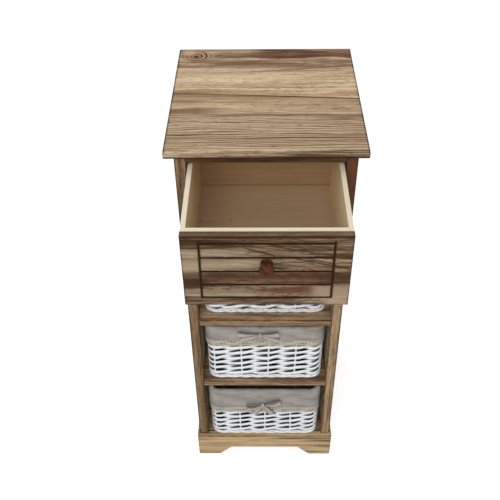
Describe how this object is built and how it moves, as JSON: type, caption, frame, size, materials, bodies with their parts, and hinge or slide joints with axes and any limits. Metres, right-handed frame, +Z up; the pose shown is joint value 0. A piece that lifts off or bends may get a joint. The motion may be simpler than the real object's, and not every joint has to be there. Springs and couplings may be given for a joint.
{
  "type": "bathroom drawer unit",
  "caption": "Narrow free-standing wooden drawer unit: a drawer with a turned knob above open shelves that hold cloth-lined wicker baskets, on a plinth with bracket feet.",
  "frame": {"origin": "on the floor under the middle of the carcass, half way between the posts' fronts and backs", "axes": "+Z up, -Y towards the front, +X to the right of someone who faces the back (left side of the unit is -X)"},
  "size_m": [0.3, 0.486, 0.787],
  "materials": {
    "torched_wood": "satin, scorched grain",
    "pale_wood": "bare",
    "knob_wood": "satin, stained",
    "steel": "plain",
    "wicker": "matt white paint",
    "linen": "woven",
    "lace": "open work",
    "ribbon": "woven"
  },
  "bodies": {
    "carcass": {"top_panel": "torched_wood", "bottom_shelf": "torched_wood", "shelf_lower": "torched_wood", "shelf_upper": "torched_wood", "plinth_front": "torched_wood", "plinth_left": "torched_wood", "plinth_right": "torched_wood", "top_rail_front": "torched_wood", "top_rail_back": "torched_wood", "drawer_rail": "torched_wood", "post_front_left": "torched_wood", "post_front_right": "torched_wood", "post_back_left": "torched_wood", "post_back_right": "torched_wood", "side_rail_left": "torched_wood", "side_rail_right": "torched_wood", "side_panel_left": "torched_wood", "side_panel_right": "torched_wood", "back_panel": "pale_wood", "shelf_cleat_lower_left": "pale_wood", "shelf_cleat_lower_right": "pale_wood", "shelf_cleat_upper_left": "pale_wood", "shelf_cleat_upper_right": "pale_wood", "corner_block_front_left": "pale_wood", "corner_block_front_right": "pale_wood", "corner_block_back_left": "pale_wood", "corner_block_back_right": "pale_wood", "drawer_runner_left": "pale_wood", "drawer_runner_right": "pale_wood", "drawer_guide_left": "pale_wood", "drawer_guide_right": "pale_wood", "drawer_stop_left": "pale_wood", "drawer_stop_right": "pale_wood", "top_pins": "steel", "shelf_pins": "steel", "back_pins": "steel"},
    "drawer": {"drawer_front": "torched_wood", "drawer_box_front": "pale_wood", "drawer_side_left": "pale_wood", "drawer_side_right": "pale_wood", "drawer_back": "pale_wood", "drawer_bottom": "pale_wood", "drawer_knob": "knob_wood", "knob_screw": "steel", "drawer_front_pins": "steel", "drawer_box_pins": "steel"},
    "upper_basket": {"basket_upper": "wicker", "basket_upper_liner": "linen", "basket_upper_lace": "lace", "basket_upper_bow": "ribbon"},
    "middle_basket": {"basket_middle": "wicker", "basket_middle_liner": "linen", "basket_middle_lace": "lace", "basket_middle_bow": "ribbon"},
    "lower_basket": {"basket_lower": "wicker", "basket_lower_liner": "linen", "basket_lower_lace": "lace", "basket_lower_bow": "ribbon"}
  },
  "joints": [
    {"name": "drawer_slide", "type": "slide", "parent": "carcass", "child": "drawer", "axis": [0, -1, 0], "range_m": [-0.16, 0.04]},
    {"name": "upper_basket_slide", "type": "slide", "parent": "carcass", "child": "upper_basket", "axis": [0, -1, 0], "range_m": [-0.01, 0.3]},
    {"name": "middle_basket_slide", "type": "slide", "parent": "carcass", "child": "middle_basket", "axis": [0, -1, 0], "range_m": [-0.021, 0.29]},
    {"name": "lower_basket_slide", "type": "slide", "parent": "carcass", "child": "lower_basket", "axis": [0, -1, 0], "range_m": [-0.031, 0.28]}
  ]
}
